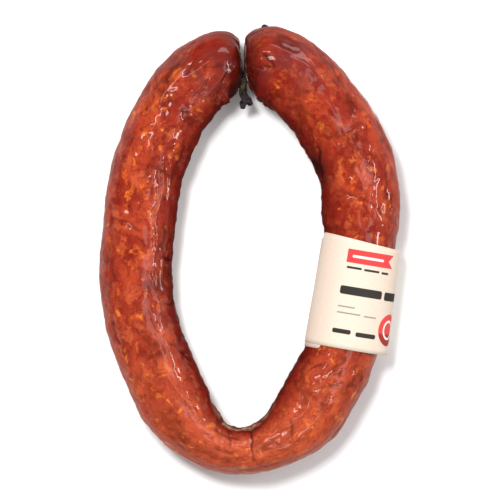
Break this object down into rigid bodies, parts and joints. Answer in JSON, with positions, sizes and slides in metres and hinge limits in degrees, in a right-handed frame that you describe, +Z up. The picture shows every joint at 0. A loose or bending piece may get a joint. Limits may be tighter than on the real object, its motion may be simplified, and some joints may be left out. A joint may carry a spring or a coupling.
{
  "type": "ring sausage",
  "caption": "Smoked cured sausage bent into a tall ring, its blunt tied ends face to face, with a paper label wrapped round a limb.",
  "frame": {"origin": "on the surface that the sausage lies on, under the middle of its overall box", "axes": "+Y along the ring's length from the bend towards the two tied ends, +X towards the labelled limb, +Z up off the surface"},
  "size_m": [0.1656, 0.2468, 0.0411],
  "materials": {
    "casing": "gloss",
    "thread": "matte",
    "paper": "matte"
  },
  "bodies": {
    "root": {"sausage": "casing", "casing_tie": "thread", "label": "paper"}
  },
  "joints": []
}
